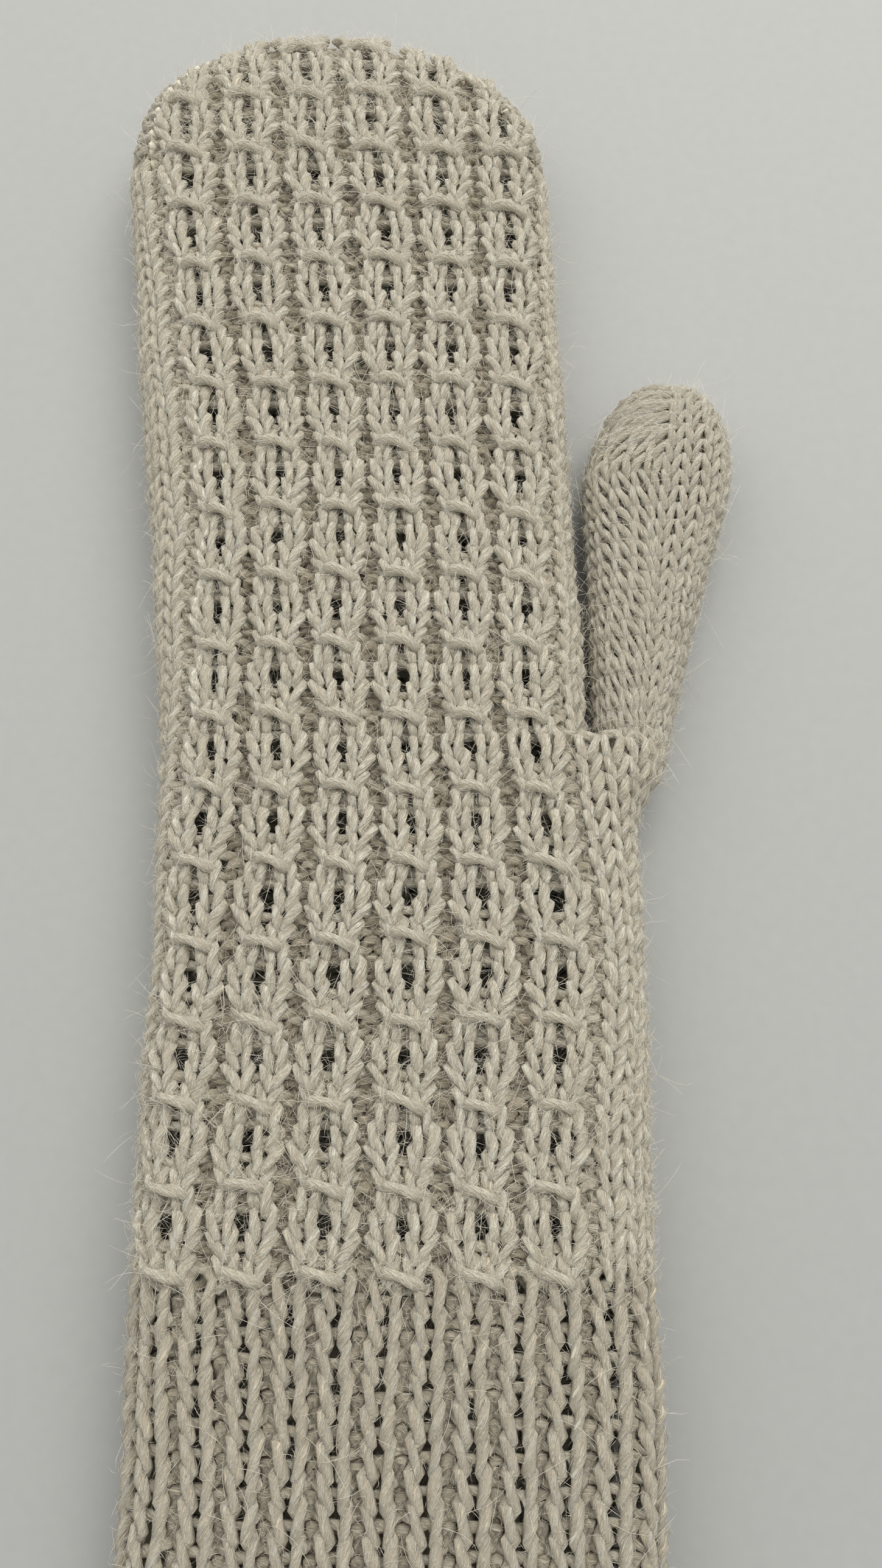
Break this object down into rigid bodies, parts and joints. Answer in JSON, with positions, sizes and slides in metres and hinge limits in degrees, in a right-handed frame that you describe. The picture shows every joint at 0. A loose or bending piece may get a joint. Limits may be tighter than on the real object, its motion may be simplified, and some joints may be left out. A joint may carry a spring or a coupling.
{
  "type": "knitted mitten",
  "caption": "Hand-knitted wool mitten lying flat: eyelet-cable back, plain palm, ribbed cuff, rounded tip and a plain thumb at the side.",
  "frame": {"origin": "middle of the outer box, on the flat palm side that it lies on", "axes": "+Y from the cuff towards the fingertips, +X towards the thumb, +Z out of the back of the hand"},
  "size_m": [0.1151, 0.311, 0.0195],
  "materials": {
    "cable_knit": "matte",
    "plain_knit": "matte",
    "rib_knit": "matte",
    "yarn_end": "matte"
  },
  "bodies": {
    "hand": {"wrist_rounds": "rib_knit", "hand_back_cables": "cable_knit", "hand_palm": "plain_knit", "hand_outer_band": "plain_knit", "hand_thumb_band": "plain_knit", "thumb_crotch_web": "plain_knit", "upper_hand_cables": "cable_knit", "upper_hand_palm": "plain_knit", "upper_outer_band": "plain_knit", "upper_inner_band": "plain_knit", "knuckle_rounds": "cable_knit", "thumb_root_rounds": "plain_knit"},
    "cuff": {"cast_on_edge": "rib_knit", "ribbed_cuff": "rib_knit", "cast_on_tail": "yarn_end"},
    "fingers": {"finger_cables": "cable_knit", "finger_palm": "plain_knit", "finger_outer_band": "plain_knit", "finger_inner_band": "plain_knit", "finger_rounds": "cable_knit"},
    "fingertips": {"fingertip_cables": "cable_knit", "fingertip_palm": "plain_knit", "fingertip_outer_band": "plain_knit", "fingertip_inner_band": "plain_knit", "crown_rounds": "cable_knit", "crown_closure": "plain_knit", "crown_tail": "yarn_end"},
    "thumb": {"thumb_back": "plain_knit", "thumb_front": "plain_knit", "thumb_tip_rounds": "plain_knit", "thumb_closure": "plain_knit", "thumb_tail": "yarn_end"}
  },
  "joints": [
    {"name": "wrist_fold", "type": "hinge", "parent": "hand", "child": "cuff", "pos_m": [-0.00336, -0.08472, 0.009], "axis": [1, 0, 0], "range_deg": [-40, 40], "deforming": ["wrist_rounds"]},
    {"name": "knuckle_fold", "type": "hinge", "parent": "hand", "child": "fingers", "pos_m": [-0.00975, 0.035, 0.009], "axis": [-1, 0, 0], "range_deg": [0, 60], "deforming": ["knuckle_rounds"]},
    {"name": "finger_fold", "type": "hinge", "parent": "fingers", "child": "fingertips", "pos_m": [-0.01336, 0.082, 0.009], "axis": [-1, 0, 0], "range_deg": [0, 60], "deforming": ["finger_rounds"]},
    {"name": "thumb_swing", "type": "hinge", "parent": "hand", "child": "thumb", "pos_m": [0.03713, 0.00751, 0.008], "axis": [0, 0, -1], "range_deg": [0, 45], "deforming": ["thumb_root_rounds"]}
  ]
}
